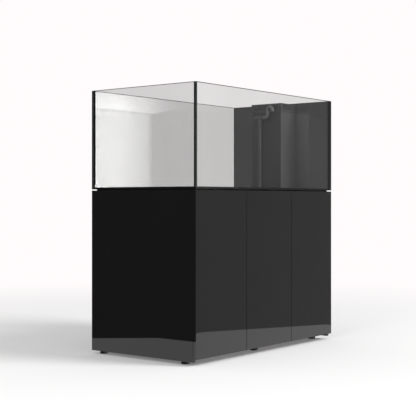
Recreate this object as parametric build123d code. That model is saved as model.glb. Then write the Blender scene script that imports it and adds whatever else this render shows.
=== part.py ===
"""Rimless aquarium with an end overflow, standing on a three-door cabinet that holds its sump.

Millimetres. +Z is up and the floor is Z = 0. The origin is on the floor under the middle of the
footprint. X runs along the tank towards the overflow end, and the doors face -Y.
"""

import os

from build123d import *

# ---------------------------------------------------------------- driving dimensions
LENGTH = 1200.0          # tank and cabinet, along X
DEPTH = 672.0            # tank and cabinet, along Y
PANEL_BOTTOM = 18.0      # lower edge of the side and back panels above the floor
DOOR_BOTTOM = 32.0       # lower edge of the doors above the floor
CABINET_TOP = 820.0      # top edge of panels and doors
RIM = 1322.0             # top edge of the glass
BOARD = 18.0             # cabinet board thickness
MAT_THICK = 6.0          # foam levelling mat, which shows as a gap under the tank
MAT_INSET = 18.0         # distance of the mat's edge behind the cabinet's edge
GLASS = 12.0             # wall pane thickness
BASE_GLASS = 8.0         # bottom pane, which lies on the mat all over
BOND = 1.0               # silicone layer between two panes
BEAD = 2.0               # leg of the silicone fillet inside the corners and round the floor
ARRIS = 0.8              # ground edge on each pane
DOOR_THICK = 16.0
DOOR_GAP = 3.0           # between two neighbouring doors
DOOR_BUFFER_GAP = 2.0    # between a door's back and the cabinet's front edges

HALF_X = LENGTH / 2
HALF_Y = DEPTH / 2
TANK_BOTTOM = CABINET_TOP + MAT_THICK
TANK_FLOOR = TANK_BOTTOM + BASE_GLASS
CARCASS_FRONT = -HALF_Y + DOOR_THICK + DOOR_BUFFER_GAP
INNER_X = HALF_X - BOARD
BASE_TOP = DOOR_BOTTOM + BOARD
TOP_BOARD_BOTTOM = CABINET_TOP - BOARD
SEAM_X = LENGTH / 6      # the doors meet at X = -SEAM_X and X = SEAM_X

# Overflow box against the +X end pane
BOX_WIDTH = 195.0
BOX_DEPTH = 146.0
BOX_Y = -8.0             # middle of the box
BOX_WALL = 6.0
BOX_TOP = RIM - 8.0
COMB_HEIGHT = 48.0
COMB_SLOT = 5.0
COMB_PITCH = 9.0
COMB_SLOT_DEPTH = 34.0
COMB_TONGUE = 12.0       # how far the comb's inner tongues reach below its band
COMB_PLAY = 0.4
COMB_PROUD = 3.0         # how far the comb stands out from the box
BOX_FACE = HALF_X - GLASS - BOX_DEPTH

# Pipework
DRAIN_X = 515.0
DRAIN_Y = 50.0
DRAIN_RADIUS = 16.0
PIPE_WALL = 2.4
MAIN_DRAIN_TOP = 1205.0
SPARE_DRAIN_TOP = 1262.0
RETURN_X = 415.0
RETURN_Y = 19.0
RETURN_RADIUS = 9.0
RETURN_WALL = 1.8
TEE_HEIGHT = 1235.0
NECK_Y = -33.0
NECK_RADIUS = 7.2
SPOUT_RADIUS = 9.0
SPOUT_BOTTOM = 1258.0
SPOUT_TURN = 17.0        # bend radius of the hooked spout
SPOUT_CENTRE = 1276.0    # height of the bend's centre
RUNNING_FIT = 0.05       # radial clearance of a shaft in its hole
SOCKET_WALL = 1.8

# Sump, in the two-door compartment under the drains
SUMP_X = (-60.0, 560.0)
SUMP_Y = (-210.0, 190.0)
SUMP_HEIGHT = 350.0
SUMP_GLASS = 6.0
BAFFLE_X = (130.0, 424.0)
BAFFLE_HEIGHT = 260.0
SUMP_FLOOR = BASE_TOP + SUMP_GLASS
SOCK_X = 492.0
SOCK_Y = 60.0
SOCK_RADIUS = 48.0
SOCK_LENGTH = 210.0
FELT = 3.0
TRAY_TOP = 384.0
TRAY_THICK = 6.0

# Concealed door hinges. U runs from the hinged edge along the door, V from its front face
# into the cabinet. The door turns about U = V = 0, its front vertical edge.
CUP_U, CUP_V = 21.5, 10.0        # pin in the cup
ARM_U, ARM_V = 30.0, 27.0        # pin in the arm
CUP_RADIUS = 17.4
CUP_DEPTH = 11.5
CUP_WALL = 1.0
FLANGE_THICK = 1.2
HINGE_PIN = 2.0
LINK_END = 4.0
LINK_THICK = 6.0
FORK_THICK = 3.0
LINK_GAP = 0.3
OPEN_PIVOT_PLAY = 0.3
ARM_REACH = 78.0                 # how far back the arm and its plate run
HINGE_INSET = 100.0              # hinge centre from the door's top and bottom edge

# Push latches under the top board
LATCH_LENGTH = 72.0
LATCH_WIDTH = 16.0
LATCH_HEIGHT = 13.0
LATCH_SETBACK = 34.0             # latch centre from the door's free edge
PLUNGER_RADIUS = 4.0
PLUNGER_TRAVEL = 2.5

# Levelling feet
FOOT_RADIUS = 20.0
FOOT_HEIGHT = 12.0
STEM_RADIUS = 5.0
FOOT_X = 555.0
FOOT_FRONT_Y = -236.0
FOOT_BACK_Y = 294.0

# Rectangular notches in the base board's back edge, for cables
NOTCH_X = 290.0
NOTCH_WIDTH = 150.0
NOTCH_DEPTH = 34.0


# ---------------------------------------------------------------- helpers
def block(x, y, z):
    """A box from three (low, high) pairs."""
    size = [high - low for low, high in (x, y, z)]
    middle = [(high + low) / 2 for low, high in (x, y, z)]
    return Pos(*middle) * Box(*size)


def rod(x, y, z, radius):
    """An upright cylinder over the height range z."""
    return Pos(x, y, (z[0] + z[1]) / 2) * Cylinder(radius, z[1] - z[0])


def rod_y(x, y, z, radius):
    """A cylinder along Y over the range y."""
    return Pos(x, (y[0] + y[1]) / 2, z) * Rot(90, 0, 0) * Cylinder(radius, y[1] - y[0])


def rod_x(x, y, z, radius):
    """A cylinder along X over the range x."""
    return Pos((x[0] + x[1]) / 2, y, z) * Rot(0, 90, 0) * Cylinder(radius, x[1] - x[0])


def prism(points, z):
    """An upright prism over the height range z."""
    return Pos(0, 0, z[0]) * extrude(make_face(Polyline(*points, close=True)), z[1] - z[0])


def hexagon(x, y, z, across):
    """An upright hexagonal prism, across its flats."""
    return Pos(x, y, z[0]) * extrude(RegularPolygon(across / 2, 6, major_radius=False), z[1] - z[0])


def pipe(points, bend, radius, wall):
    """A tube along a route with rounded corners."""
    route = FilletPolyline(*points, radius=bend)
    start = Plane(origin=route @ 0, z_dir=route % 0)
    outer = sweep(start * Circle(radius), path=route)
    inner = sweep(start * Circle(radius - wall), path=route)
    return outer - inner


def save(name, *solids):
    """Write one sub-part, made of one or more separate solids."""
    shape = solids[0] if len(solids) == 1 else Compound(children=list(solids))
    export_step(shape, f"parts/{name}.step")


# ---------------------------------------------------------------- tank
def ground(pane):
    """Grind the arris on a pane's long top edges."""
    return chamfer(pane.edges().group_by(Axis.Z)[-1], ARRIS)


def tank_bottom_pane():
    pane = block((-HALF_X, HALF_X), (-HALF_Y, HALF_Y), (TANK_BOTTOM, TANK_FLOOR))
    for x, y in BULKHEADS:
        pane -= rod(x, y, (TANK_BOTTOM - 1, TANK_FLOOR + 1), BARREL_RADIUS + 1)
    return pane


def long_pane(side):
    edges = sorted((side * HALF_Y, side * (HALF_Y - GLASS)))
    return ground(block((-HALF_X, HALF_X), edges, (TANK_FLOOR, RIM)))


def end_pane(side):
    edges = sorted((side * HALF_X, side * (HALF_X - GLASS)))
    half = HALF_Y - GLASS - BOND
    return ground(block(edges, (-half, half), (TANK_FLOOR, RIM)))


def corner_seam(side_x, side_y):
    """The bond between two panes with its fillet inside the tank."""
    face_x = HALF_X - GLASS
    face_y = HALF_Y - GLASS
    outline = [
        (HALF_X - ARRIS, face_y),
        (face_x - BEAD, face_y),
        (face_x, face_y - BEAD),
        (face_x, face_y - BOND),
        (HALF_X - ARRIS, face_y - BOND),
    ]
    return prism([(side_x * x, side_y * y) for x, y in outline], (TANK_FLOOR, RIM - ARRIS))


def floor_seams():
    """The fillet round the tank's floor, left out where the overflow box stands."""
    face_x = HALF_X - GLASS
    face_y = HALF_Y - GLASS
    top = TANK_FLOOR + BEAD
    long_profile = [(face_y, TANK_FLOOR), (face_y, top), (face_y - BEAD, TANK_FLOOR)]
    end_profile = [(face_x, TANK_FLOOR), (face_x, top), (face_x - BEAD, TANK_FLOOR)]
    seams = []
    for side in (-1, 1):
        outline = [(-face_x + BEAD, side * y, z) for y, z in long_profile]
        run = 2 * (face_x - BEAD)
        seams.append(extrude(make_face(Polyline(*outline, close=True)), run, dir=(1, 0, 0)))
    starts = {-1: [(-face_y + BEAD, face_y - BEAD)],
              1: [(-face_y + BEAD, BOX_Y - BOX_WIDTH / 2), (BOX_Y + BOX_WIDTH / 2, face_y - BEAD)]}
    for side, runs in starts.items():
        for low, high in runs:
            outline = [(side * x, low, z) for x, z in end_profile]
            face = make_face(Polyline(*outline, close=True))
            seams.append(extrude(face, high - low, dir=(0, 1, 0)))
    return seams


def silicone_seams():
    corners = [corner_seam(x, y) for x in (-1, 1) for y in (-1, 1)]
    return corners + floor_seams()


# ---------------------------------------------------------------- overflow box
def overflow_panels():
    """Front and two side panels, which reach up to the comb."""
    height = (TANK_FLOOR, BOX_TOP - COMB_HEIGHT)
    half = BOX_WIDTH / 2
    front = block((BOX_FACE, BOX_FACE + BOX_WALL), (-half, half), height)
    depth = (BOX_FACE + BOX_WALL, HALF_X - GLASS)
    sides = [block(depth, sorted((s * half, s * (half - BOX_WALL))), height) for s in (-1, 1)]
    return [Pos(0, BOX_Y, 0) * panel for panel in (front, *sides)]


def comb_slots(length, count):
    """Slot centres for one wall of the comb."""
    return [(i - (count - 1) / 2) * length for i in range(count)]


def overflow_comb():
    """A lift-off band round three sides, with slots open at the top and tongues inside the box."""
    half = BOX_WIDTH / 2
    outer = half + COMB_PROUD
    bottom = BOX_TOP - COMB_HEIGHT + COMB_PLAY
    back = HALF_X - GLASS - COMB_PLAY
    band = block((BOX_FACE - COMB_PROUD, back), (-outer, outer), (bottom, BOX_TOP))
    inner = (-half + BOX_WALL, half - BOX_WALL)
    band -= block((BOX_FACE + BOX_WALL, back + 1), inner, (bottom - 1, BOX_TOP + 1))
    slot_z = (BOX_TOP - COMB_SLOT_DEPTH, BOX_TOP + 1)
    for y in comb_slots(COMB_PITCH, int((BOX_WIDTH - 3 * BOX_WALL) / COMB_PITCH)):
        through = (BOX_FACE - COMB_PROUD - 1, BOX_FACE + BOX_WALL + 1)
        band -= block(through, (y - COMB_SLOT / 2, y + COMB_SLOT / 2), slot_z)
    middle = (BOX_FACE + BOX_WALL + back) / 2
    for x in comb_slots(COMB_PITCH, int((BOX_DEPTH - 3 * BOX_WALL) / COMB_PITCH)):
        across = (middle + x - COMB_SLOT / 2, middle + x + COMB_SLOT / 2)
        band -= block(across, (-outer - 1, outer + 1), slot_z)
    tongue_z = (bottom - COMB_TONGUE, bottom + COMB_TONGUE / 2)
    tongue_x = (BOX_FACE + BOX_WALL + COMB_PLAY, BOX_FACE + 2 * BOX_WALL)
    for y in (-half / 2, half / 2):
        band += block(tongue_x, (y - COMB_TONGUE, y + COMB_TONGUE), tongue_z)
        bridge_x = (BOX_FACE + BOX_WALL / 2, BOX_FACE + 2 * BOX_WALL)
        band += block(bridge_x, (y - COMB_TONGUE, y + COMB_TONGUE), (bottom, tongue_z[1]))
    return Pos(0, BOX_Y, 0) * band


# ---------------------------------------------------------------- pipework
BULKHEADS = [(DRAIN_X, -DRAIN_Y), (DRAIN_X, DRAIN_Y), (RETURN_X, RETURN_Y)]
BARREL_RADIUS = 21.0
BARREL_BOTTOM = 772.0
BULKHEAD_FLANGE = 30.0
RETURN_FLANGE = 26.0     # cut down beside the overflow box
FLANGE_HEIGHT = 8.0
NUT_HEIGHT = 13.0
NUT_ACROSS = 58.0
BOARD_HOLE = 38.0


def bulkhead(x, y):
    """Flanged fitting through the tank's floor, bored for its pipe."""
    is_return = x == RETURN_X
    bore = (RETURN_RADIUS if is_return else DRAIN_RADIUS) + 2 * RUNNING_FIT
    flange = RETURN_FLANGE if is_return else BULKHEAD_FLANGE
    fitting = rod(x, y, (TANK_FLOOR, TANK_FLOOR + FLANGE_HEIGHT), flange)
    fitting = chamfer(fitting.edges().group_by(Axis.Z)[-1], 2.0)
    fitting += rod(x, y, (BARREL_BOTTOM, TANK_FLOOR), BARREL_RADIUS)
    return fitting - rod(x, y, (BARREL_BOTTOM - 1, TANK_FLOOR + FLANGE_HEIGHT + 1), bore)


def bulkhead_nut(x, y):
    height = (TANK_BOTTOM - NUT_HEIGHT, TANK_BOTTOM)
    nut = hexagon(x, y, height, NUT_ACROSS)
    return nut - rod(x, y, (height[0] - 1, height[1] + 1), BARREL_RADIUS + 2 * RUNNING_FIT)


def upright_tube(x, y, z, radius, wall=PIPE_WALL):
    return rod(x, y, z, radius) - rod(x, y, (z[0] - 1, z[1] + 1), radius - wall)


def drain_standpipes():
    """Main drain, low, and spare drain, whose mouth is just under the weir."""
    main = upright_tube(DRAIN_X, -DRAIN_Y, (TANK_FLOOR, MAIN_DRAIN_TOP), DRAIN_RADIUS)
    spare = upright_tube(DRAIN_X, DRAIN_Y, (TANK_FLOOR, SPARE_DRAIN_TOP), DRAIN_RADIUS)
    return [main, spare]


VALVE_HEIGHT = 650.0
VALVE_RADIUS = 27.0
VALVE_LENGTH = 84.0
STEM = 6.0
DRAIN_END = 398.0


def drain_downpipes():
    """The main drain in two lengths with its valve between them, and the spare drain."""
    top = TANK_FLOOR
    gap = VALVE_LENGTH / 2 - 20.0
    upper = upright_tube(DRAIN_X, -DRAIN_Y, (VALVE_HEIGHT + gap, top), DRAIN_RADIUS)
    lower = upright_tube(DRAIN_X, -DRAIN_Y, (DRAIN_END, VALVE_HEIGHT - gap), DRAIN_RADIUS)
    spare = upright_tube(DRAIN_X, DRAIN_Y, (DRAIN_END, top), DRAIN_RADIUS)
    return [upper, lower, spare]


def drain_valve_body():
    """Ball valve with two hexagonal ends and a stem boss towards the doors."""
    half = VALVE_LENGTH / 2
    height = (VALVE_HEIGHT - half, VALVE_HEIGHT + half)
    body = rod(DRAIN_X, -DRAIN_Y, (height[0] + 18, height[1] - 18), VALVE_RADIUS)
    for low, high in ((height[0], height[0] + 18), (height[1] - 18, height[1])):
        body += hexagon(DRAIN_X, -DRAIN_Y, (low, high), 2 * VALVE_RADIUS - 4)
    body += rod_y(DRAIN_X, (-DRAIN_Y - VALVE_RADIUS - 10, -DRAIN_Y), VALVE_HEIGHT, 13)
    socket = DRAIN_RADIUS + 2 * RUNNING_FIT
    gap = half - 20.0
    body -= rod(DRAIN_X, -DRAIN_Y, (height[0] - 1, VALVE_HEIGHT - gap), socket)
    body -= rod(DRAIN_X, -DRAIN_Y, (VALVE_HEIGHT + gap, height[1] + 1), socket)
    body -= rod(DRAIN_X, -DRAIN_Y, height, DRAIN_RADIUS - PIPE_WALL)
    hole = (-DRAIN_Y - VALVE_RADIUS - 11, -DRAIN_Y - DRAIN_RADIUS - 2)
    return body - rod_y(DRAIN_X, hole, VALVE_HEIGHT, STEM + RUNNING_FIT)


def drain_valve_handle():
    """T-shaped handle, in line with the pipe when the valve is open."""
    front = -DRAIN_Y - VALVE_RADIUS - 10
    stem = rod_y(DRAIN_X, (front - 4, -DRAIN_Y - DRAIN_RADIUS - 4), VALVE_HEIGHT, STEM)
    hub = rod_y(DRAIN_X, (front - 16, front - 1), VALVE_HEIGHT, 12)
    bar = block((DRAIN_X - 7, DRAIN_X + 7), (front - 16, front - 4),
                (VALVE_HEIGHT - 36, VALVE_HEIGHT + 36))
    bar = fillet(bar.edges().filter_by(Axis.Y), 6.5)
    return stem + hub + bar


def return_riser():
    return upright_tube(RETURN_X, RETURN_Y, (TANK_FLOOR, TEE_HEIGHT - 6), RETURN_RADIUS, RETURN_WALL)


SOCKET = RETURN_RADIUS + SOCKET_WALL
TEE_ARM = 26.0
CAP_THICK = 5.0


def return_tee():
    """Tee on the riser: a capped stub to +Y and the outlet to -Y."""
    body = rod(RETURN_X, RETURN_Y, (TEE_HEIGHT - 26, TEE_HEIGHT), SOCKET)
    body += rod_y(RETURN_X, (RETURN_Y - TEE_ARM, RETURN_Y + TEE_ARM), TEE_HEIGHT, SOCKET)
    body -= rod(RETURN_X, RETURN_Y, (TEE_HEIGHT - 27, TEE_HEIGHT - 6), RETURN_RADIUS + 2 * RUNNING_FIT)
    body -= rod(RETURN_X, RETURN_Y, (TEE_HEIGHT - 7, TEE_HEIGHT), RETURN_RADIUS - RETURN_WALL)
    bore = (RETURN_Y - TEE_ARM - 1, RETURN_Y + TEE_ARM + 1)
    return body - rod_y(RETURN_X, bore, TEE_HEIGHT, RETURN_RADIUS - RETURN_WALL)


def return_end_cap():
    """Plug with a rim, closing the tee's stub."""
    end = RETURN_Y + TEE_ARM
    cap = rod_y(RETURN_X, (end, end + CAP_THICK), TEE_HEIGHT, SOCKET - 1)
    plug = RETURN_RADIUS - RETURN_WALL - 2 * RUNNING_FIT
    return cap + rod_y(RETURN_X, (end - CAP_THICK, end), TEE_HEIGHT, plug)


def return_elbow():
    """Elbow from the tee's outlet up into the neck on which the spout turns."""
    start = RETURN_Y - TEE_ARM
    bend = pipe([(RETURN_X, start, TEE_HEIGHT), (RETURN_X, NECK_Y, TEE_HEIGHT),
                 (RETURN_X, NECK_Y, SPOUT_BOTTOM - 1)], 19.0, RETURN_RADIUS, RETURN_WALL)
    neck = rod(RETURN_X, NECK_Y, (SPOUT_BOTTOM - 2, SPOUT_CENTRE - 4), NECK_RADIUS)
    collar = rod(RETURN_X, NECK_Y, (SPOUT_BOTTOM - 4, SPOUT_BOTTOM - 1), RETURN_RADIUS + 1.5)
    bore = rod(RETURN_X, NECK_Y, (SPOUT_BOTTOM - 5, SPOUT_CENTRE), NECK_RADIUS - RETURN_WALL)
    return bend + (neck + collar - bore)


def return_spout():
    """Hooked spout that turns on the neck and pours towards the doors."""
    far = NECK_Y - 2 * SPOUT_TURN
    route = [(RETURN_X, NECK_Y, SPOUT_BOTTOM), (RETURN_X, NECK_Y, SPOUT_CENTRE + SPOUT_TURN),
             (RETURN_X, far, SPOUT_CENTRE + SPOUT_TURN), (RETURN_X, far, SPOUT_CENTRE - 4)]
    tube = pipe(route, SPOUT_TURN - 0.1, SPOUT_RADIUS, RETURN_WALL)
    lip = upright_tube(RETURN_X, far, (SPOUT_CENTRE - 8, SPOUT_CENTRE - 3), SPOUT_RADIUS + 1, 2.4)
    socket = rod(RETURN_X, NECK_Y, (SPOUT_BOTTOM - 1, SPOUT_CENTRE - 2), NECK_RADIUS + RUNNING_FIT)
    return tube + lip - socket


# ---------------------------------------------------------------- return pump and its pipe
PUMP_X = 35.0
PUMP_RADIUS = 42.0
PUMP_LENGTH = 110.0
PUMP_AXIS = SUMP_FLOOR + 60.0
RETURN_RUN = 520.0


def return_pump():
    """Submersible pump on a foot, with a ribbed intake and an outlet on top."""
    low = PUMP_X - PUMP_LENGTH / 2
    high = PUMP_X + PUMP_LENGTH / 2
    body = rod_x((low, high), RETURN_Y, PUMP_AXIS, PUMP_RADIUS)
    body = chamfer(body.edges(), 4.0)
    body += rod_x((high - 2, high + 16), RETURN_Y, PUMP_AXIS, 24)
    body += rod(PUMP_X, RETURN_Y, (PUMP_AXIS, PUMP_AXIS + PUMP_RADIUS + 22), SOCKET)
    foot = (RETURN_Y - 34, RETURN_Y + 34)
    body += block((low + 6, high - 6), foot, (SUMP_FLOOR, PUMP_AXIS - PUMP_RADIUS + 8))
    for i in range(6):
        ring_x = low + 14 + i * 15
        ring = rod_x((ring_x, ring_x + 4), RETURN_Y, PUMP_AXIS, PUMP_RADIUS + 2)
        body += ring - rod_x((ring_x - 1, ring_x + 5), RETURN_Y, PUMP_AXIS, PUMP_RADIUS - 2)
    top = PUMP_AXIS + PUMP_RADIUS
    return body - rod(PUMP_X, RETURN_Y, (top, top + 23), RETURN_RADIUS + 2 * RUNNING_FIT)


def return_pipe():
    """From the pump up, along the compartment and up to the return bulkhead."""
    start = PUMP_AXIS + PUMP_RADIUS
    route = [(PUMP_X, RETURN_Y, start), (PUMP_X, RETURN_Y, RETURN_RUN),
             (RETURN_X, RETURN_Y, RETURN_RUN), (RETURN_X, RETURN_Y, TANK_FLOOR)]
    return pipe(route, 32.0, RETURN_RADIUS, RETURN_WALL)


# ---------------------------------------------------------------- sump
def sump_panes():
    """Bottom, two long walls, two end walls and two baffles."""
    top = BASE_TOP + SUMP_HEIGHT
    (x0, x1), (y0, y1), g = SUMP_X, SUMP_Y, SUMP_GLASS
    walls = (SUMP_FLOOR, top)
    panes = [block(SUMP_X, SUMP_Y, (BASE_TOP, SUMP_FLOOR))]
    panes += [block(SUMP_X, (y0, y0 + g), walls), block(SUMP_X, (y1 - g, y1), walls)]
    inner_y = (y0 + g, y1 - g)
    panes += [block((x0, x0 + g), inner_y, walls), block((x1 - g, x1), inner_y, walls)]
    for x in BAFFLE_X:
        panes.append(block((x, x + g), inner_y, (SUMP_FLOOR, SUMP_FLOOR + BAFFLE_HEIGHT)))
    return panes


def sock_tray():
    """Plate across the drain chamber with a round hole for each filter sock."""
    g = SUMP_GLASS
    across = (SUMP_Y[0] + g, SUMP_Y[1] - g)
    tray = block((BAFFLE_X[1], SUMP_X[1] - g), across, (TRAY_TOP - TRAY_THICK, TRAY_TOP))
    for y in (-SOCK_Y, SOCK_Y):
        tray -= rod(SOCK_X, y, (TRAY_TOP - TRAY_THICK - 1, TRAY_TOP + 1), SOCK_RADIUS + 1)
    return tray


def filter_sock(y):
    """Felt sock open at the top, hanging by its ring."""
    bottom = TRAY_TOP - SOCK_LENGTH
    sock = rod(SOCK_X, y, (bottom, TRAY_TOP), SOCK_RADIUS)
    sock = fillet(sock.edges().group_by(Axis.Z)[0], 14.0)
    sock += rod(SOCK_X, y, (TRAY_TOP, TRAY_TOP + 6), SOCK_RADIUS + 7)
    cavity = rod(SOCK_X, y, (bottom + FELT, TRAY_TOP + 7), SOCK_RADIUS - FELT)
    return sock - fillet(cavity.edges().group_by(Axis.Z)[0], 14.0 - FELT)


# ---------------------------------------------------------------- cabinet
def side_panel(side):
    edges = sorted((side * HALF_X, side * INNER_X))
    return block(edges, (CARCASS_FRONT, HALF_Y), (PANEL_BOTTOM, CABINET_TOP))


def back_panel():
    return block((-INNER_X, INNER_X), (HALF_Y - BOARD, HALF_Y), (PANEL_BOTTOM, CABINET_TOP))


def base_board():
    back = HALF_Y - BOARD
    board = block((-INNER_X, INNER_X), (CARCASS_FRONT, back), (DOOR_BOTTOM, BASE_TOP))
    for x in (-NOTCH_X, NOTCH_X):
        across = (x - NOTCH_WIDTH / 2, x + NOTCH_WIDTH / 2)
        board -= block(across, (back - NOTCH_DEPTH, back + 1), (DOOR_BOTTOM - 1, BASE_TOP + 1))
    return board


def pierced(board, z):
    """Cut the clearance holes for the bulkheads and their nuts."""
    for x, y in BULKHEADS:
        board -= rod(x, y, (z[0] - 1, z[1] + 1), BOARD_HOLE)
    return board


def top_board():
    height = (TOP_BOARD_BOTTOM, CABINET_TOP)
    board = block((-INNER_X, INNER_X), (CARCASS_FRONT, HALF_Y - BOARD), height)
    return pierced(board, height)


def levelling_mat():
    height = (CABINET_TOP, TANK_BOTTOM)
    x = HALF_X - MAT_INSET
    y = HALF_Y - MAT_INSET
    return pierced(block((-x, x), (-y, y), height), height)


def divider_panel():
    return block((-SEAM_X - BOARD / 2, -SEAM_X + BOARD / 2), (CARCASS_FRONT, HALF_Y - BOARD),
                 (BASE_TOP, TOP_BOARD_BOTTOM))


# ---------------------------------------------------------------- doors and hinges
# Each door: its hinged edge, the direction of U from it, its width and the U of the wall
# that carries its hinge arms.
DOOR_WIDTH = LENGTH / 3 - DOOR_GAP / 2
MIDDLE_WIDTH = LENGTH / 3 - DOOR_GAP
DOORS = {
    "left": (-HALF_X, 1, DOOR_WIDTH, BOARD),
    "middle": (-SEAM_X + DOOR_GAP / 2, 1, MIDDLE_WIDTH, (BOARD - DOOR_GAP) / 2),
    "right": (HALF_X, -1, DOOR_WIDTH, BOARD),
}
HINGE_HEIGHTS = (DOOR_BOTTOM + HINGE_INSET, CABINET_TOP - HINGE_INSET)


def place(shape, door, height=0.0):
    """Move a shape drawn in U, V and height to its door, mirrored on a right-hand door."""
    edge, direction, _, _ = DOORS[door]
    if direction < 0:
        shape = mirror(shape, about=Plane.YZ)
    return Pos(edge, -HALF_Y, height) * shape


def upright_link(start, end, z, width):
    """Flat link with round ends, from one pin centre to the other."""
    outline = SlotCenterToCenter(abs(Vector(*end) - Vector(*start)), width)
    angle = Vector(1, 0).get_signed_angle(Vector(*end) - Vector(*start), Vector(0, 0, 1))
    middle = (Vector(*start) + Vector(*end)) / 2
    return Pos(middle.X, middle.Y, z[0]) * Rot(0, 0, angle) * extrude(outline, z[1] - z[0])


def door_panel(door):
    width = DOORS[door][2]
    panel = block((0, width), (0, DOOR_THICK), (DOOR_BOTTOM, CABINET_TOP))
    panel = chamfer(panel.edges().group_by(Axis.Y)[0], ARRIS)
    for z in HINGE_HEIGHTS:
        drilling = (DOOR_THICK - CUP_DEPTH - 0.2, DOOR_THICK + 1)
        panel -= rod_y(CUP_U, drilling, z, CUP_RADIUS + 2 * RUNNING_FIT)
    return place(panel, door)


def hinge_cup(door, height):
    """Cup in the door's back with its flange and the pin across it."""
    back = DOOR_THICK
    cup = rod_y(CUP_U, (back - CUP_DEPTH, back), 0, CUP_RADIUS)
    flange = block((CUP_U - 17.0, CUP_U + 17.0), (back, back + FLANGE_THICK), (-27, 27))
    flange = fillet(flange.edges().filter_by(Axis.Y), 8.0)
    cup += flange - block((CUP_U - 18.0, CUP_U - 8.0), (back - 1, back + 2), (-9, 9))
    hollow = CUP_RADIUS - CUP_WALL
    cup -= rod_y(CUP_U, (back - CUP_DEPTH + CUP_WALL, back + FLANGE_THICK + 1), 0, hollow)
    cup += rod(CUP_U, CUP_V, (-hollow - CUP_WALL / 2, hollow + CUP_WALL / 2), HINGE_PIN)
    return place(cup, door, height)


HALF_LINK = LINK_THICK / 2
FORK_IN = HALF_LINK + LINK_GAP
FORK_OUT = FORK_IN + FORK_THICK
CHEEK_IN = FORK_OUT + LINK_GAP
CHEEK_OUT = CHEEK_IN + 2.0
ELBOW_U = CUP_U + ARM_U
ELBOW_V = CUP_V + ARM_V


def arm_link(door, height):
    """Link between the arm's pin and the elbow. It turns as far as the door does."""
    height_range = (-HALF_LINK, HALF_LINK)
    link = upright_link((ARM_U, ARM_V), (ELBOW_U, ELBOW_V), height_range, 2 * LINK_END)
    link -= rod(ARM_U, ARM_V, (-5, 5), HINGE_PIN + RUNNING_FIT)
    link -= rod(ELBOW_U, ELBOW_V, (-5, 5), HINGE_PIN + OPEN_PIVOT_PLAY)
    return place(link, door, height)


def cup_link(door, height):
    """Fork between the cup's pin and the elbow. It keeps its direction as the door turns."""
    link = rod(CUP_U, CUP_V, (-FORK_OUT, FORK_OUT), LINK_END)
    for low, high in ((-FORK_OUT, -FORK_IN), (FORK_IN, FORK_OUT)):
        link += upright_link((CUP_U, CUP_V), (ELBOW_U, ELBOW_V), (low, high), 5.0)
        link += rod(ELBOW_U, ELBOW_V, (low, high), LINK_END)
    link += rod(ELBOW_U, ELBOW_V, (-FORK_OUT, FORK_OUT), HINGE_PIN)
    link -= rod(CUP_U, CUP_V, (-FORK_OUT - 1, FORK_OUT + 1), HINGE_PIN + RUNNING_FIT)
    return place(link, door, height)


def hinge_arm(door, height):
    """Mounting plate on the wall with a two-cheeked arm that carries the pin."""
    wall = DOORS[door][3]
    front = DOOR_THICK + DOOR_BUFFER_GAP + 3.0
    back = DOOR_THICK + ARM_REACH
    plate = block((wall, wall + 3), (front + 12, back), (-24, 24))
    plate = fillet(plate.edges().filter_by(Axis.X), 6.0)
    body = block((wall + 3, ARM_U + LINK_END + 1), (ELBOW_V + 7, back - 8), (-CHEEK_OUT, CHEEK_OUT))
    body = fillet(body.edges().group_by(Axis.Y)[-1].filter_by(Axis.Z), 5.0)
    arm = plate + body
    for low, high in ((-CHEEK_OUT, -CHEEK_IN), (CHEEK_IN, CHEEK_OUT)):
        arm += upright_link((ARM_U, ARM_V), (ARM_U, ELBOW_V + 14), (low, high), 2 * LINK_END)
    arm += rod(ARM_U, ARM_V, (-CHEEK_OUT, CHEEK_OUT), HINGE_PIN)
    for z in (-16, 16):
        arm -= rod_x((wall - 1, wall + 4), back - 20, z, PLATE_SCREW + 2 * RUNNING_FIT)
    return place(arm, door, height)


PLATE_SCREW = 2.4


def plate_screw(door, height, offset):
    """Pan-head screw that holds a hinge plate to its wall."""
    wall = DOORS[door][3]
    along = DOOR_THICK + ARM_REACH - 20
    head = rod_x((wall + 3, wall + 5.4), along, offset, 4.6)
    head = fillet(head.edges().filter_by(GeomType.CIRCLE).group_by(Axis.X)[-1], 1.8)
    shank = rod_x((wall, wall + 3), along, offset, PLATE_SCREW)
    return place(head + shank, door, height)


# ---------------------------------------------------------------- push latches
def latch_x(door):
    edge, direction, width, _ = DOORS[door]
    return edge + direction * (width - LATCH_SETBACK)


LATCH_FRONT = CARCASS_FRONT + 2.0
LATCH_Z = TOP_BOARD_BOTTOM - LATCH_HEIGHT / 2
PLUNGER_TIP = -HALF_Y + DOOR_THICK + 0.3


def latch_housing(door):
    x = latch_x(door)
    half = LATCH_WIDTH / 2
    height = (TOP_BOARD_BOTTOM - LATCH_HEIGHT, TOP_BOARD_BOTTOM)
    housing = block((x - half, x + half), (LATCH_FRONT, LATCH_FRONT + LATCH_LENGTH), height)
    housing = chamfer(housing.edges().group_by(Axis.Z)[0], 1.5)
    bore = (LATCH_FRONT - 1, LATCH_FRONT + LATCH_LENGTH - 8)
    return housing - rod_y(x, bore, LATCH_Z, PLUNGER_RADIUS + RUNNING_FIT)


def latch_plunger(door):
    back = LATCH_FRONT + LATCH_LENGTH - 8 - PLUNGER_TRAVEL - 1
    plunger = rod_y(latch_x(door), (PLUNGER_TIP, back), LATCH_Z, PLUNGER_RADIUS)
    return fillet(plunger.edges().group_by(Axis.Y)[0], 0.8)


# ---------------------------------------------------------------- feet
FOOT_PLACES = {
    f"{row}_{place_name}": (x, y)
    for row, y in (("front", FOOT_FRONT_Y), ("back", FOOT_BACK_Y))
    for place_name, x in (("left", -FOOT_X), ("middle", 0.0), ("right", FOOT_X))
}


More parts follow.
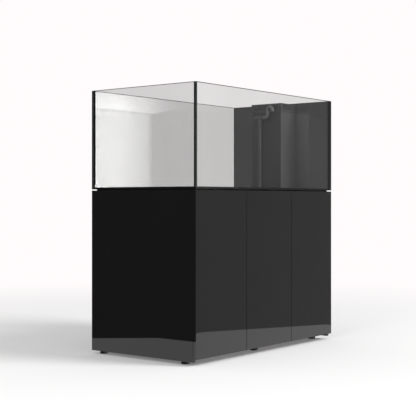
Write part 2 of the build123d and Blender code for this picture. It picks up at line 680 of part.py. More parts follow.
def foot(x, y):
    """Round pad with a threaded stem, shown plain."""
    pad = rod(x, y, (0, FOOT_HEIGHT), FOOT_RADIUS)
    pad = chamfer(pad.edges().group_by(Axis.Z)[-1], 3.0)
    pad = chamfer(pad.edges().group_by(Axis.Z)[0], 1.0)
    return pad + rod(x, y, (FOOT_HEIGHT, DOOR_BOTTOM - 1), STEM_RADIUS)


def foot_socket(x, y):
    """Flanged insert under the base board in which a stem turns."""
    socket = rod(x, y, (DOOR_BOTTOM - 3, DOOR_BOTTOM), 22.0)
    socket += rod(x, y, (FOOT_HEIGHT + 4, DOOR_BOTTOM - 3), 11.0)
    return socket - rod(x, y, (0, DOOR_BOTTOM + 1), STEM_RADIUS + RUNNING_FIT)


# ---------------------------------------------------------------- everything
def build_tank():
    save("tank_bottom_pane", tank_bottom_pane())
    save("tank_front_pane", long_pane(-1))
    save("tank_back_pane", long_pane(1))
    save("tank_left_end_pane", end_pane(-1))
    save("tank_overflow_end_pane", end_pane(1))
    save("silicone_seams", *silicone_seams())
    save("overflow_panels", *overflow_panels())
    save("overflow_comb", overflow_comb())


def build_pipework():
    save("tank_bulkheads", *[bulkhead(x, y) for x, y in BULKHEADS])
    save("bulkhead_nuts", *[bulkhead_nut(x, y) for x, y in BULKHEADS])
    save("drain_standpipes", *drain_standpipes())
    save("drain_downpipes", *drain_downpipes())
    save("drain_valve_body", drain_valve_body())
    save("drain_valve_handle", drain_valve_handle())
    save("return_riser", return_riser())
    save("return_tee", return_tee())
    save("return_end_cap", return_end_cap())
    save("return_elbow", return_elbow())
    save("return_spout", return_spout())
    save("return_pipe", return_pipe())
    save("return_pump", return_pump())


def build_sump():
    save("sump_panes", *sump_panes())
    save("filter_sock_tray", sock_tray())
    save("filter_socks", *[filter_sock(y) for y in (-SOCK_Y, SOCK_Y)])


def build_cabinet():
    save("left_side_panel", side_panel(-1))
    save("right_side_panel", side_panel(1))
    save("back_panel", back_panel())
    save("base_board", base_board())
    save("top_board", top_board())
    save("divider_panel", divider_panel())
    save("levelling_mat", levelling_mat())
    save("foot_sockets", *[foot_socket(x, y) for x, y in FOOT_PLACES.values()])
    for name, (x, y) in FOOT_PLACES.items():
        save(f"foot_{name}", foot(x, y))


def build_doors():
    for door in DOORS:
        save(f"{door}_door", door_panel(door))
        save(f"{door}_hinge_cups", *[hinge_cup(door, z) for z in HINGE_HEIGHTS])
        save(f"{door}_hinge_cup_links", *[cup_link(door, z) for z in HINGE_HEIGHTS])
        save(f"{door}_hinge_arm_links", *[arm_link(door, z) for z in HINGE_HEIGHTS])
        save(f"{door}_hinge_arms", *[hinge_arm(door, z) for z in HINGE_HEIGHTS])
        save(f"{door}_latch_plunger", latch_plunger(door))
    save("latch_housings", *[latch_housing(door) for door in DOORS])
    screws = [plate_screw(door, z, s) for door in DOORS for z in HINGE_HEIGHTS for s in (-16, 16)]
    save("hinge_plate_screws", *screws)


os.makedirs("parts", exist_ok=True)
build_tank()
build_pipework()
build_sump()
build_cabinet()
build_doors()
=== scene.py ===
"""Looks for the aquarium on its cabinet: black lacquer, faintly grey glass, black end wall, dark pipework."""
import math

import bmesh
import bpy
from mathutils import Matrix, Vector


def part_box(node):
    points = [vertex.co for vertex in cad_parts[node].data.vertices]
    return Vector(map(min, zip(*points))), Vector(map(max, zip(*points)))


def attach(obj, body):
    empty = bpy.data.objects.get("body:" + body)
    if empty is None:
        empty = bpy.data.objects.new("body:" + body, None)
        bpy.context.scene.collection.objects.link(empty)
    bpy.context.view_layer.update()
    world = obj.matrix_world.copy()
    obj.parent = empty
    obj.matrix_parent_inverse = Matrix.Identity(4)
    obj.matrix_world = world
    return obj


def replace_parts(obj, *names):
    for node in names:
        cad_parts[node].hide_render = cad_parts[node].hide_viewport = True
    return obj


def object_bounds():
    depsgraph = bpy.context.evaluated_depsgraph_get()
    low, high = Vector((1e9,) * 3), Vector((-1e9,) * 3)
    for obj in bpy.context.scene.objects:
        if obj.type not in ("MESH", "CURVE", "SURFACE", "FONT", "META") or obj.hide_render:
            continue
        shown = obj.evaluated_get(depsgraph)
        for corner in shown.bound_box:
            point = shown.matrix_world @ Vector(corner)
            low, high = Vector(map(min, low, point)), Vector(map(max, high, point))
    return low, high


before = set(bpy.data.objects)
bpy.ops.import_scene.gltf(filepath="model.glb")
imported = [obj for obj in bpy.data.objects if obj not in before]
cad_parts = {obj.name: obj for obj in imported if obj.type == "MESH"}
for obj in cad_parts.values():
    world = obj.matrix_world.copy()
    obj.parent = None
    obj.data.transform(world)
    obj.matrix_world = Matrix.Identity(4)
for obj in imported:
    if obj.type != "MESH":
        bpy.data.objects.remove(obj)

cad_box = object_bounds()
LOW, HIGH = cad_box

# ---------------------------------------------------------------- camera facts
# The camera looks level at the tank's near corner, the front left one.
FORWARD = Vector((0.7869, 0.6171, 0.0))
RIGHT = Vector((0.6171, -0.7869, 0.0))
CAMERA_DISTANCE = 4.644
CAMERA_OFFSET = 0.0555
EYE_HEIGHT = 0.7686
LENS = 87.0
SENSOR = 36.0
SHIFT = -0.0173
PICTURE_HALF_ANGLE = math.atan(SENSOR / 2 / LENS)
NEAR_CORNER = Vector((LOW.x, LOW.y, 0.0))
EYE = NEAR_CORNER - CAMERA_DISTANCE * FORWARD + CAMERA_OFFSET * RIGHT + Vector((0, 0, EYE_HEIGHT))


# ---------------------------------------------------------------- node helpers
class Graph:
    """A material's or the world's node tree, built by short calls."""

    def __init__(self, tree):
        self.tree = tree
        self.tree.nodes.clear()

    def add(self, kind, settings=None, **inputs):
        node = self.tree.nodes.new(kind)
        for name, value in (settings or {}).items():
            setattr(node, name, value)
        for name, value in inputs.items():
            self.set(node.inputs[name.replace("_", " ")], value)
        return node

    def set(self, socket, value):
        if isinstance(value, bpy.types.NodeSocket):
            self.tree.links.new(value, socket)
        else:
            socket.default_value = value

    def math(self, operation, *values):
        node = self.add("ShaderNodeMath", {"operation": operation})
        for socket, value in zip(node.inputs, values):
            self.set(socket, value)
        return node.outputs[0]

    def map_range(self, value, low, high, to_low=0.0, to_high=1.0, smooth=True):
        node = self.add("ShaderNodeMapRange")
        node.interpolation_type = "SMOOTHSTEP" if smooth else "LINEAR"
        for name, item in (("Value", value), ("From Min", low), ("From Max", high),
                           ("To Min", to_low), ("To Max", to_high)):
            self.set(node.inputs[name], item)
        return node.outputs["Result"]

    def mix_colour(self, factor, first, second):
        node = self.add("ShaderNodeMix", {"data_type": "RGBA"})
        self.set(node.inputs[0], factor)
        self.set(node.inputs[6], first)
        self.set(node.inputs[7], second)
        return node.outputs[2]

    def mix_shader(self, factor, first, second):
        node = self.add("ShaderNodeMixShader")
        self.set(node.inputs[0], factor)
        self.set(node.inputs[1], first)
        self.set(node.inputs[2], second)
        return node.outputs[0]

    def place(self, scale=(1, 1, 1)):
        coordinates = self.add("ShaderNodeTexCoord").outputs["Object"]
        mapping = self.add("ShaderNodeMapping", Vector=coordinates)
        mapping.inputs["Scale"].default_value = scale
        return mapping.outputs[0]

    def noise(self, scale, detail=2.0, stretch=(1, 1, 1), roughness=0.5):
        node = self.add("ShaderNodeTexNoise", Vector=self.place(stretch), Scale=scale, Detail=detail)
        node.inputs["Roughness"].default_value = roughness
        return node.outputs["Fac"]

    def bump(self, height, distance, strength=1.0):
        return self.add("ShaderNodeBump", Height=height, Distance=distance, Strength=strength).outputs[0]

    def surface(self, shader):
        self.add("ShaderNodeOutputMaterial", Surface=shader)

    def thin_fresnel(self, ior):
        """The same reflectance on a pane's front and back faces, as in a pane that doesn't bend light."""
        behind = self.add("ShaderNodeNewGeometry").outputs["Backfacing"]
        index = self.map_range(behind, 0.0, 1.0, ior, 1.0 / ior, smooth=False)
        return self.add("ShaderNodeFresnel", IOR=index).outputs[0]


def spread(colour, low, high):
    """A darker and a paler take on a colour, for a material that varies between them."""
    return tuple((*[c * part for c in colour], 1.0) for part in (low, high))


def new_material(name):
    material = bpy.data.materials.new(name)
    material.use_nodes = True
    return material, Graph(material.node_tree)


def dress(material, *nodes):
    """Give CAD nodes a material."""
    for name in nodes:
        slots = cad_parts[name].data.materials
        slots.clear()
        slots.append(material)


# ---------------------------------------------------------------- materials
WALL_MIRROR = 0.53       # share of the light that the black wall mirrors into the tank
ARRIS_HIGHLIGHT_WIDTH = 0.002      # width along a pane's ground arris that gets a painted highlight
TOP_ARRIS_SHADE_BAND = (0.0035, 0.0025)   # painted shade: a grey band under the top arris, as depths below the tank's rim


def edge_mask(g, radius):
    """1 along the solid's edges, 0 on its flats."""
    bevel = g.add("ShaderNodeBevel", {"samples": 4}, Radius=radius)
    normal = g.add("ShaderNodeNewGeometry").outputs["True Normal"]
    dot = g.add("ShaderNodeVectorMath", {"operation": "DOT_PRODUCT"})
    g.set(dot.inputs[0], bevel.outputs[0])
    g.set(dot.inputs[1], normal)
    return g.map_range(dot.outputs["Value"], 0.995, 0.90)


def lacquer(name, colour, ior, rough):
    """Sprayed black lacquer on board: faint orange peel, cloudy gloss, edges rubbed a little paler."""
    material, g = new_material(name)
    peel = g.noise(420.0, 2.0)
    cloud = g.noise(3.5, 4.0)
    specks = g.noise(900.0, 1.0)
    edge = edge_mask(g, 0.0012)
    tone = g.mix_colour(cloud, *spread(colour, 0.8, 1.25))
    tone = g.mix_colour(g.math("MULTIPLY", edge, 0.5), tone, (0.035, 0.035, 0.036, 1))
    dust = g.map_range(specks, 0.72, 0.80)
    tone = g.mix_colour(g.math("MULTIPLY", dust, 0.12), tone, (0.2, 0.2, 0.2, 1))
    gloss = g.map_range(cloud, 0.25, 0.75, rough * 0.75, rough * 1.3, smooth=False)
    normal = g.bump(peel, 0.00001, 0.25)
    shader = g.add("ShaderNodeBsdfPrincipled", Base_Color=tone, Roughness=gloss, IOR=ior, Normal=normal)
    g.surface(shader.outputs[0])
    return material


def pane(name, broad_axis, tint, ior=1.5, bonded_from=None):
    """Flat glass seen through its two broad faces, with dark polished edges, a painted highlight along its
    arrises and a painted grey shade in a band under its top arris.
    Past bonded_from, along X, the glass shows the black silicone that it is bonded with."""
    material, g = new_material(name)
    geometry = g.add("ShaderNodeNewGeometry")
    normal = g.add("ShaderNodeSeparateXYZ", Vector=geometry.outputs["True Normal"])
    across = g.math("ABSOLUTE", normal.outputs[broad_axis])
    edge = g.map_range(across, 0.95, 0.80)
    height = g.add("ShaderNodeSeparateXYZ", Vector=g.place()).outputs["Z"]
    smear = g.noise(2.2, 5.0)
    streak = g.noise(5.0, 3.0, stretch=(1, 1, 0.15))
    haze = g.math("MULTIPLY", g.map_range(smear, 0.45, 0.8), 0.007)
    clear = g.add("ShaderNodeBsdfTransparent")
    tone = g.mix_colour(g.map_range(streak, 0.3, 0.7), *spread(tint, 1.0, 0.985))
    # Painted shade: the glass's tint turns grey in a thin band just under the top arris.
    painted_top_shade = g.map_range(height, HIGH.z - TOP_ARRIS_SHADE_BAND[0], HIGH.z - TOP_ARRIS_SHADE_BAND[1])
    tone = g.mix_colour(g.math("MULTIPLY", painted_top_shade, 0.25), tone, (0.30, 0.32, 0.32, 1))
    g.set(clear.inputs["Color"], tone)
    mirror = g.add("ShaderNodeBsdfGlossy", Color=(1, 1, 1, 1), Roughness=0.01)
    fresnel = g.thin_fresnel(ior)
    film = g.mix_shader(fresnel, clear.outputs[0], mirror.outputs[0])
    dust = g.add("ShaderNodeBsdfDiffuse", Color=(0.8, 0.8, 0.8, 1))
    film = g.mix_shader(haze, film, dust.outputs[0])
    green = g.mix_colour(g.noise(30.0, 3.0), (0.005, 0.007, 0.007, 1), (0.010, 0.014, 0.013, 1))
    # Painted highlight: the edge colour turns pale along the pane's arrises.
    arris = g.math("MULTIPLY", edge_mask(g, ARRIS_HIGHLIGHT_WIDTH), 0.75)
    green = g.mix_colour(arris, green, (0.16, 0.17, 0.17, 1))
    rim = g.add("ShaderNodeBsdfPrincipled", Base_Color=green, Roughness=0.16, IOR=1.35)
    solid = edge
    if bonded_from:
        along = g.math("ABSOLUTE", g.add("ShaderNodeSeparateXYZ", Vector=g.place()).outputs["X"])
        solid = g.math("MAXIMUM", edge, g.math("GREATER_THAN", along, bonded_from))
    g.surface(g.mix_shader(solid, film, rim.outputs[0]))
    return material


def end_wall(name):
    """Glass painted black on its outer face. The tank's side of it is a deep dark mirror."""
    material, g = new_material(name)
    facing = g.add("ShaderNodeSeparateXYZ", Vector=g.add("ShaderNodeNewGeometry").outputs["True Normal"])
    inside = g.math("LESS_THAN", facing.outputs["X"], -0.9)
    cloud = g.noise(4.0, 4.0)
    tone = g.mix_colour(cloud, (0.0095, 0.0095, 0.0078, 1), (0.0115, 0.0115, 0.0095, 1))
    wipe = g.noise(24.0, 3.0, stretch=(1, 1, 0.2))
    gloss = g.map_range(wipe, 0.3, 0.7, 0.02, 0.05, smooth=False)
    paint = g.add("ShaderNodeBsdfPrincipled", Base_Color=tone, Roughness=gloss)
    mirror = g.add("ShaderNodeBsdfGlossy", Color=(1, 1, 1, 1), Roughness=0.02)
    g.surface(g.mix_shader(g.math("MULTIPLY", inside, WALL_MIRROR), paint.outputs[0], mirror.outputs[0]))
    return material


def glossy_black(name, colour, rough, ior=1.5, painted_light_side_colour=None):
    """Black-backed glass or cast acrylic: deep, even, with the faintest wipe marks in its gloss.
    The side colour goes on faces that look along Y: a paler tone there is painted light, standing in for the
    brighter light on those faces."""
    material, g = new_material(name)
    cloud = g.noise(4.0, 4.0)
    wipe = g.noise(24.0, 3.0, stretch=(1, 1, 0.2))
    tone = g.mix_colour(cloud, *spread(colour, 0.85, 1.2))
    # Painted light: faces that look along Y take the paler side colour.
    if painted_light_side_colour:
        facing = g.add("ShaderNodeSeparateXYZ", Vector=g.add("ShaderNodeNewGeometry").outputs["True Normal"])
        side = g.map_range(g.math("ABSOLUTE", facing.outputs["Y"]), 0.7, 0.95)
        paler = g.mix_colour(wipe, *spread(painted_light_side_colour, 0.9, 1.1))
        tone = g.mix_colour(side, tone, paler)
    gloss = g.map_range(wipe, 0.3, 0.7, rough * 0.9, rough * 1.12, smooth=False)
    normal = g.bump(g.noise(260.0, 2.0), 0.00001, 0.12)
    shader = g.add("ShaderNodeBsdfPrincipled", Base_Color=tone, Roughness=gloss, IOR=ior, Normal=normal)
    g.surface(shader.outputs[0])
    return material


def plastic(name, colour, rough, grain=900.0, depth=0.00003, edge_light=1.6):
    """Moulded or extruded plastic: fine grain, slight mottling, edges a little paler."""
    material, g = new_material(name)
    mottle = g.noise(18.0, 4.0)
    fine = g.noise(grain, 2.0)
    edge = edge_mask(g, 0.001)
    tone = g.mix_colour(mottle, *spread(colour, 0.82, 1.18))
    bright = (*[min(1.0, c * edge_light + 0.01) for c in colour], 1)
    tone = g.mix_colour(g.math("MULTIPLY", edge, 0.6), tone, bright)
    gloss = g.map_range(mottle, 0.3, 0.7, rough * 0.85, rough * 1.15, smooth=False)
    normal = g.bump(fine, depth, 0.5)
    shader = g.add("ShaderNodeBsdfPrincipled", Base_Color=tone, Roughness=gloss, Normal=normal)
    g.surface(shader.outputs[0])
    return material


def steel(name, colour, rough, stretch):
    """Nickel- or zinc-plated steel with drawn lines along the part and rubbed edges."""
    material, g = new_material(name)
    lines = g.noise(700.0, 3.0, stretch=stretch)
    tarnish = g.noise(45.0, 4.0)
    edge = edge_mask(g, 0.0006)
    tone = g.mix_colour(tarnish, *spread(colour, 0.75, 1.0))
    tone = g.mix_colour(edge, tone, (0.85, 0.85, 0.85, 1))
    gloss = g.map_range(lines, 0.3, 0.7, rough * 0.7, rough * 1.4, smooth=False)
    normal = g.bump(lines, 0.00002, 0.4)
    shader = g.add("ShaderNodeBsdfPrincipled", Base_Color=tone, Metallic=1.0, Roughness=gloss, Normal=normal)
    g.surface(shader.outputs[0])
    return material


def rubber(name, colour, rough, cells=None, ior=1.45):
    """Silicone or foam. Foam shows its closed cells."""
    material, g = new_material(name)
    mottle = g.noise(60.0, 3.0)
    tone = g.mix_colour(mottle, *spread(colour, 0.8, 1.3))
    if cells:
        voronoi = g.add("ShaderNodeTexVoronoi", Vector=g.place(), Scale=cells)
        normal = g.bump(voronoi.outputs["Distance"], 0.0004, 0.7)
    else:
        normal = g.bump(g.noise(180.0, 2.0), 0.0001, 0.4)
    gloss = g.map_range(mottle, 0.3, 0.7, rough * 0.8, rough * 1.2, smooth=False)
    shader = g.add("ShaderNodeBsdfPrincipled", Base_Color=tone, Roughness=gloss, IOR=ior, Normal=normal)
    g.surface(shader.outputs[0])
    return material


def melamine(name):
    """Black melamine-faced board with its pressed pore texture."""
    material, g = new_material(name)
    pores = g.noise(160.0, 5.0, stretch=(1, 0.12, 1))
    cloud = g.noise(6.0, 3.0)
    tone = g.mix_colour(cloud, (0.012, 0.012, 0.012, 1), (0.022, 0.022, 0.022, 1))
    tone = g.mix_colour(g.map_range(pores, 0.55, 0.75), tone, (0.035, 0.035, 0.035, 1))
    normal = g.bump(pores, 0.0002, 0.4)
    gloss = g.map_range(pores, 0.3, 0.7, 0.42, 0.6, smooth=False)
    shader = g.add("ShaderNodeBsdfPrincipled", Base_Color=tone, Roughness=gloss, Normal=normal)
    g.surface(shader.outputs[0])
    return material


def felt(name):
    """White needle felt: tangled fibres and a soft sheen."""
    material, g = new_material(name)
    fibres = g.noise(1400.0, 6.0, roughness=0.7)
    stain = g.noise(14.0, 4.0)
    tone = g.mix_colour(fibres, (0.55, 0.54, 0.50, 1), (0.86, 0.86, 0.83, 1))
    tone = g.mix_colour(g.math("MULTIPLY", g.map_range(stain, 0.5, 0.8), 0.35), tone, (0.45, 0.40, 0.30, 1))
    normal = g.bump(fibres, 0.0008, 0.8)
    shader = g.add("ShaderNodeBsdfPrincipled", Base_Color=tone, Roughness=0.95, Normal=normal)
    shader.inputs["Sheen Weight"].default_value = 0.3
    g.surface(shader.outputs[0])
    return material


def sump_glass():
    """Clear thin glass for the sump, with pale green edges."""
    material, g = new_material("sump_glass")
    tone = g.mix_colour(g.noise(3.0, 4.0), (0.90, 0.945, 0.93, 1), (0.93, 0.965, 0.955, 1))
    clear = g.add("ShaderNodeBsdfTransparent", Color=tone)
    mirror = g.add("ShaderNodeBsdfGlossy", Color=(1, 1, 1, 1), Roughness=0.01)
    fresnel = g.thin_fresnel(1.5)
    film = g.mix_shader(fresnel, clear.outputs[0], mirror.outputs[0])
    edge = edge_mask(g, 0.0015)
    rim = g.add("ShaderNodeBsdfPrincipled", Base_Color=(0.18, 0.36, 0.30, 1), Roughness=0.15)
    g.surface(g.mix_shader(g.math("MULTIPLY", edge, 0.8), film, rim.outputs[0]))
    return material


# ---------------------------------------------------------------- the CAD nodes' materials
GLASS_TINT = (0.905, 0.909, 0.905)
END_TINT = (0.85, 0.852, 0.85)
SEAM_SHOWN = 0.009       # how far in from its ends the front pane shows black silicone
BACK_SEAM_SHOWN = 0.003
FRONT_BOND, BACK_BOND = HIGH.x - SEAM_SHOWN, HIGH.x - BACK_SEAM_SHOWN
dress(pane("clear_long_pane", "Y", GLASS_TINT, bonded_from=FRONT_BOND), "tank_front_pane")
dress(pane("clear_back_pane", "Y", GLASS_TINT, bonded_from=BACK_BOND), "tank_back_pane")
dress(pane("clear_end_pane", "X", END_TINT), "tank_left_end_pane")
dress(end_wall("black_backed_wall"), "tank_overflow_end_pane")
dress(glossy_black("black_base_glass", (0.006, 0.006, 0.0057), 0.12, ior=1.4), "tank_bottom_pane")
dress(rubber("black_silicone", (0.006, 0.006, 0.006), 0.35, ior=1.08), "silicone_seams")
# The box's faces that look along Y get painted light, a paler tone than the faces along X.
dress(glossy_black("black_acrylic", (0.040, 0.040, 0.040), 0.34, ior=1.8, painted_light_side_colour=(0.085, 0.085, 0.086)),
      "overflow_panels")
dress(plastic("comb_plastic", (0.055, 0.055, 0.055), 0.36), "overflow_comb")
dress(rubber("foam_mat", (0.012, 0.012, 0.012), 0.9, cells=420.0), "levelling_mat")
dress(glossy_black("tray_acrylic", (0.02, 0.02, 0.02), 0.12), "filter_sock_tray")
dress(plastic("valve_handle_plastic", (0.30, 0.02, 0.015), 0.35), "drain_valve_handle")
LACQUER_BLACK = (0.0045, 0.0045, 0.0046)
dress(lacquer("door_lacquer", LACQUER_BLACK, 1.68, 0.022), "left_door", "middle_door", "right_door")
dress(lacquer("panel_lacquer", LACQUER_BLACK, 1.6, 0.022),
      "left_side_panel", "right_side_panel", "back_panel")
dress(melamine("inner_board"), "base_board", "top_board", "divider_panel")
DOORS = ("left", "middle", "right")
dress(steel("hinge_cup_steel", (0.62, 0.61, 0.58), 0.24, (1, 1, 6)), *[f"{d}_hinge_cups" for d in DOORS])
dress(steel("hinge_link_steel", (0.55, 0.54, 0.52), 0.28, (6, 1, 1)),
      *[f"{d}_hinge_{k}_links" for d in DOORS for k in ("arm", "cup")])
dress(steel("hinge_arm_steel", (0.62, 0.61, 0.58), 0.24, (6, 1, 6)), *[f"{d}_hinge_arms" for d in DOORS])
dress(steel("screw_steel", (0.66, 0.66, 0.64), 0.3, (1, 1, 1)), "hinge_plate_screws")
dress(plastic("latch_plastic", (0.20, 0.20, 0.20), 0.45), "latch_housings")
dress(plastic("plunger_plastic", (0.32, 0.32, 0.32), 0.4), *[f"{d}_latch_plunger" for d in DOORS])
FEET = [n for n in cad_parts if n.startswith("foot_") and n != "foot_sockets"]
dress(plastic("foot_plastic", (0.010, 0.010, 0.010), 0.5), *FEET)
dress(plastic("socket_plastic", (0.02, 0.02, 0.02), 0.5), "foot_sockets")
dress(plastic("pump_plastic", (0.018, 0.018, 0.020), 0.4), "return_pump")
dress(plastic("return_plastic", (0.08, 0.08, 0.08), 0.40), "return_riser", "return_tee", "return_end_cap")
dress(plastic("spout_plastic", (0.13, 0.13, 0.13), 0.40), "return_elbow", "return_spout")
dress(plastic("pipe_plastic", (0.06, 0.06, 0.06), 0.4), "tank_bulkheads", "bulkhead_nuts", "drain_standpipes",
      "drain_downpipes", "drain_valve_body", "return_pipe")
dress(sump_glass(), "sump_panes")


# ---------------------------------------------------------------- filter socks
SOCK_LOW, SOCK_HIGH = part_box("filter_socks")
SOCK_RING = (SOCK_HIGH.x - SOCK_LOW.x) / 2
SOCK_LIP = 0.007         # how far the ring reaches past the felt
SOCK_RING_HEIGHT = 0.006
SOCK_WALL = 0.003
SOCK_TURNED = 0.014      # radius where the side turns into the bottom
SOCK_SIDES = 120
SOCK_ROWS = 64
SOCK_CREASE = 0.0040     # how far the felt draws in at a crease
SOCK_SEAM = 0.0012       # how far the sewn side seam stands out
SOCK_CENTRES = [Vector(((SOCK_LOW.x + SOCK_HIGH.x) / 2, y, 0.0))
                for y in (SOCK_LOW.y + SOCK_RING, SOCK_HIGH.y - SOCK_RING)]


def lathe(bm, centre, profile, closed=False, shape=None):
    """Skin a profile of (radius, height) points turned about an upright axis. shape moves each point."""
    rows = []
    for radius, height in profile:
        row = []
        for i in range(SOCK_SIDES):
            angle = math.tau * i / SOCK_SIDES
            reach = shape(angle, radius, height) if shape else radius
            spot = Vector((reach * math.cos(angle), reach * math.sin(angle), height))
            row.append(bm.verts.new(centre + spot))
        rows.append(row)
    pairs = list(zip(rows, rows[1:]))
    if closed:
        pairs.append((rows[-1], rows[0]))
    for lower, upper in pairs:
        for i in range(SOCK_SIDES):
            j = (i + 1) % SOCK_SIDES
            bm.faces.new((lower[i], lower[j], upper[j], upper[i]))
    if not closed:
        bm.faces.new(rows[0])
        bm.faces.new(rows[-1])


def bag_line(radius, bottom, turned, top):
    """From the middle of a round bag's bottom out and up its side."""
    line = [(radius * 0.02, bottom), (radius * 0.35, bottom)]
    for step in range(9):
        angle = math.radians(90 * step / 8)
        outward, upward = turned * math.sin(angle), turned * (1 - math.cos(angle))
        line.append((radius - turned + outward, bottom + upward))
    side = [bottom + turned + (top - bottom - turned) * row / SOCK_ROWS for row in range(1, SOCK_ROWS + 1)]
    return line + [(radius, height) for height in side]


def felt_hang(angle, radius, height):
    """Felt hangs round at its ring and draws in at soft upright creases lower down, beside a sewn seam."""
    drop = (SOCK_HIGH.z - height) / (SOCK_HIGH.z - SOCK_LOW.z)
    free = max(0.0, min(1.0, (drop - 0.06) * 3.0))
    fold = math.sin(5 * angle + 3.0 * drop)
    fold += 0.6 * math.sin(9 * angle - 5.0 * drop)
    fold += 0.4 * math.sin(38 * drop + 2 * angle)
    seam = math.exp(-((math.remainder(angle + 2.2, math.tau) / 0.06) ** 2))
    wide = radius / (SOCK_RING - SOCK_LIP)
    return radius - wide * (SOCK_SEAM + SOCK_CREASE * free * (0.5 + fold / 4)) + wide * SOCK_SEAM * seam


def mesh_piece(name, bm, material):
    """A smooth-shaded piece that rides on the fixed body."""
    bmesh.ops.recalc_face_normals(bm, faces=bm.faces)
    mesh = bpy.data.meshes.new(name)
    bm.to_mesh(mesh)
    bm.free()
    mesh.shade_smooth()
    mesh.materials.append(material)
    piece = bpy.data.objects.new(name, mesh)
    bpy.context.collection.objects.link(piece)
    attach(piece, "tank_and_cabinet")
    return piece


def felt_socks():
    """Two needle-felt bags, each with its inner face, hanging from their rings."""
    outer = SOCK_RING - SOCK_LIP
    top = SOCK_HIGH.z - SOCK_RING_HEIGHT / 2
    outside = bag_line(outer, SOCK_LOW.z + 0.0005, SOCK_TURNED, top)
    inside = bag_line(outer - SOCK_WALL, SOCK_LOW.z + SOCK_WALL, SOCK_TURNED - SOCK_WALL, top)
    bm = bmesh.new()
    for centre in SOCK_CENTRES:
        lathe(bm, centre, outside + inside[::-1], shape=felt_hang)
    return mesh_piece("felt_filter_socks", bm, felt("sock_felt"))


def sock_rings():
    """Moulded rings that carry the socks: a rounded flange with a grip groove round its rim."""
    top, foot = SOCK_HIGH.z, SOCK_HIGH.z - SOCK_RING_HEIGHT
    bore = SOCK_RING - SOCK_LIP - SOCK_WALL - 0.0002
    out = SOCK_RING
    profile = [(bore, foot), (bore, top - 0.001), (bore + 0.001, top), (out - 0.002, top),
               (out - 0.0006, top - 0.0005), (out, top - 0.0015), (out - 0.0008, top - 0.0022),
               (out - 0.0008, foot + 0.0022), (out, foot + 0.0015), (out - 0.0006, foot + 0.0004),
               (out - 0.002, foot)]
    bm = bmesh.new()
    for centre in SOCK_CENTRES:
        lathe(bm, centre, profile, closed=True)
    ring_plastic = plastic("ring_plastic", (0.55, 0.55, 0.53), 0.35, edge_light=1.2)
    return mesh_piece("filter_sock_rings", bm, ring_plastic)


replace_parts(felt_socks(), "filter_socks")
sock_rings()


# ---------------------------------------------------------------- camera, floor and light
BACKDROP = (1.0, 0.966, 0.974, 1.0)
FLOOR_SIZE = 40.0
FLOOR_GLOW = 0.17        # light that the white floor sheet passes from below
FLOOR_FADE = (1.4, 4.5)  # distances from the middle over which the floor turns to backdrop
WEDGE_LENGTH = 30.0      # the camera's view of the floor, and how far past the picture it reaches
WEDGE_MARGIN = math.radians(0.3)
LIT_LEFT = 0.64          # lit floor that the panels mirror, out from the side panel
LIT_FRONT = 0.74         # and out from the doors
LIT_PAST = 0.55          # how far it runs on past their far ends
FILL = 0.55              # even light from all round
DARK_SIDE = 0.06         # what mirrors see to the camera's left and ahead
GREY_SIDE = 0.27         # what they see to its right
BEHIND = 0.27            # and behind it
GREY_FROM = (20.0, 60.0)        # turns to the right, in degrees, over which the grey comes in
BEHIND_FROM = (135.0, 165.0)
SOFTBOX = 9.0
SOFTBOX_NEAR = (77.6, 82.4)
SOFTBOX_FAR = (150.0, 120.0)
SOFTBOX_BOTTOM = (-5.0, -2.5)   # rises, in degrees
SOFTBOX_TOP = (8.0, 5.0)
KEY_TURN = math.radians(108.0)
KEY_DISTANCE = 12.0
KEY_HEIGHT = 9.2
KEY_SIZE = 6.0
KEY_POWER = 1750.0
SIDE_TURN = math.radians(-150.0)
SIDE_DISTANCE = 6.0
SIDE_HEIGHT = 3.0
SIDE_SIZE = 3.0
SIDE_POWER = 110.0
AIM_HEIGHT = 0.3


def make_camera():
    data = bpy.data.cameras.new("camera")
    data.lens = LENS
    data.shift_y = SHIFT
    camera = bpy.data.objects.new("camera", data)
    camera.location = EYE
    camera.rotation_euler = (math.radians(90), 0, -math.atan2(FORWARD.x, FORWARD.y))
    bpy.context.scene.collection.objects.link(camera)
    bpy.context.scene.camera = camera


def polygon(name, corners, material):
    """A flat stage sheet."""
    mesh = bpy.data.meshes.new(name)
    mesh.from_pydata(corners, [], [list(range(len(corners)))])
    mesh.materials.append(material)
    sheet = bpy.data.objects.new(name, mesh)
    bpy.context.scene.collection.objects.link(sheet)
    return sheet


def floor_material():
    """Pale studio floor that brightens into the white backdrop away from the object."""
    material, g = new_material("studio_floor")
    distance = g.add("ShaderNodeVectorMath", {"operation": "LENGTH"})
    g.set(distance.inputs[0], g.place())
    fade = g.map_range(distance.outputs["Value"], *FLOOR_FADE)
    grain = g.noise(40.0, 3.0)
    tone = g.mix_colour(grain, (0.86, 0.86, 0.858, 1), (0.875, 0.875, 0.872, 1))
    matt = g.add("ShaderNodeBsdfDiffuse", Color=tone)
    glow = g.add("ShaderNodeEmission", Color=BACKDROP, Strength=1.0)
    lit = g.mix_shader(FLOOR_GLOW, matt.outputs[0], glow.outputs[0])
    g.surface(g.mix_shader(fade, lit, glow.outputs[0]))
    return material


def clip(corners, direction, limit):
    """The part of a flat polygon whose points reach no further than limit along direction."""
    kept = []
    for first, second in zip(corners, corners[1:] + corners[:1]):
        before, after = first.dot(direction) - limit, second.dot(direction) - limit
        if before <= 0:
            kept.append(first)
        if before * after < 0:
            kept.append(first.lerp(second, before / (before - after)))
    return kept


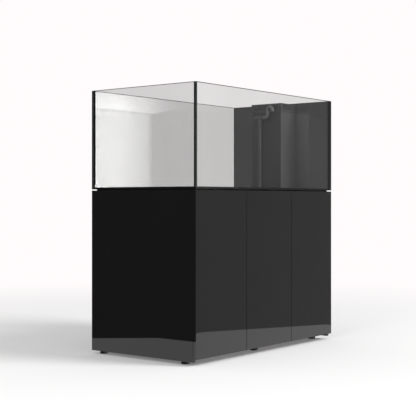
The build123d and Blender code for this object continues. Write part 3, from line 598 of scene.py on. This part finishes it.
def make_floor():
    """A wide floor for the eye, and for reflections the stretch of floor that a set would light."""
    material = floor_material()
    size = FLOOR_SIZE
    outline = [(-size, -size, 0), (size, -size, 0), (size, size, 0), (-size, size, 0)]
    wide = polygon("floor", outline, material)
    wide.visible_glossy = False
    foot = Vector((EYE.x, EYE.y, 0))
    corners = [foot - 0.5 * FORWARD]
    for side in (1, -1):
        angle = side * (PICTURE_HALF_ANGLE + WEDGE_MARGIN)
        corners.append(foot + WEDGE_LENGTH * (FORWARD * math.cos(angle) + RIGHT * math.sin(angle)))
    strips = {"left": (LOW.x - LIT_LEFT, LOW.x, LOW.y - LIT_FRONT, HIGH.y + LIT_PAST),
              "front": (LOW.x, HIGH.x + LIT_PAST, LOW.y - LIT_FRONT, LOW.y)}
    glow = reflected_floor_material()
    for side, (west, east, south, north) in strips.items():
        strip = corners
        limits = (((-1, 0, 0), -west), ((1, 0, 0), east), ((0, -1, 0), -south), ((0, 1, 0), north))
        for direction, limit in limits:
            strip = clip(strip, Vector(direction), limit)
        lit = polygon(f"reflected_floor_{side}", [tuple(corner) for corner in strip], glow)
        lit.visible_camera = False
        lit.visible_diffuse = False
        lit.visible_shadow = False


def reflected_floor_material():
    """Even pale light, as from a white floor under a studio's lamps."""
    material, g = new_material("reflected_floor")
    g.surface(g.add("ShaderNodeEmission", Color=(0.86, 0.86, 0.86, 1), Strength=1.0).outputs[0])
    return material


def make_world():
    """White behind the object, even fill from all round, and a studio to mirror: dark on the
    left, mid-grey on the right and behind the camera, with a wide bright softbox on the right."""
    world = bpy.data.worlds.new("studio")
    world.use_nodes = True
    bpy.context.scene.world = world
    g = Graph(world.node_tree)
    direction = g.add("ShaderNodeTexCoord").outputs["Generated"]
    part = g.add("ShaderNodeSeparateXYZ", Vector=direction)
    ahead, right = [g.math("ADD", g.math("MULTIPLY", part.outputs["X"], axis.x),
                           g.math("MULTIPLY", part.outputs["Y"], axis.y)) for axis in (FORWARD, RIGHT)]
    turn = g.math("DEGREES", g.math("ARCTAN2", right, ahead))
    rise = g.math("DEGREES", g.math("ARCSINE", part.outputs["Z"]))
    flat = g.map_range(turn, *GREY_FROM, DARK_SIDE, GREY_SIDE)
    behind = g.map_range(g.math("ABSOLUTE", turn), *BEHIND_FROM, 0.0, BEHIND)
    across = g.math("MULTIPLY", g.map_range(turn, *SOFTBOX_NEAR), g.map_range(turn, *SOFTBOX_FAR))
    window = g.math("MULTIPLY", g.map_range(rise, *SOFTBOX_BOTTOM), g.map_range(rise, *SOFTBOX_TOP))
    softbox = g.math("MULTIPLY", across, window)
    glossy = g.math("ADD", g.math("MAXIMUM", flat, behind), g.math("MULTIPLY", softbox, SOFTBOX))
    path = g.add("ShaderNodeLightPath")
    fill = g.add("ShaderNodeBackground", Color=(1, 1, 1, 1), Strength=FILL)
    studio = g.add("ShaderNodeBackground", Color=(1, 1, 1, 1), Strength=glossy)
    white = g.add("ShaderNodeBackground", Color=BACKDROP, Strength=1.0)
    shader = g.mix_shader(path.outputs["Is Glossy Ray"], fill.outputs[0], studio.outputs[0])
    shader = g.mix_shader(path.outputs["Is Camera Ray"], shader, white.outputs[0])
    g.add("ShaderNodeOutputWorld", Surface=shader)


def make_lamp(name, turn, distance, height, size, power):
    """Round softbox aimed low on the cabinet, left out of reflections."""
    data = bpy.data.lights.new(name, "AREA")
    data.shape = "DISK"
    data.size = size
    data.energy = power
    lamp = bpy.data.objects.new(name, data)
    toward = FORWARD * math.cos(turn) + RIGHT * math.sin(turn)
    lamp.location = distance * toward + Vector((0, 0, height))
    lamp.rotation_euler = (Vector((0, 0, AIM_HEIGHT)) - lamp.location).to_track_quat("-Z", "Y").to_euler()
    lamp.visible_glossy = False
    bpy.context.scene.collection.objects.link(lamp)


make_camera()
make_floor()
make_world()
make_lamp("key", KEY_TURN, KEY_DISTANCE, KEY_HEIGHT, KEY_SIZE, KEY_POWER)
make_lamp("side_fill", SIDE_TURN, SIDE_DISTANCE, SIDE_HEIGHT, SIDE_SIZE, SIDE_POWER)
bpy.context.scene.view_settings.view_transform = "Standard"
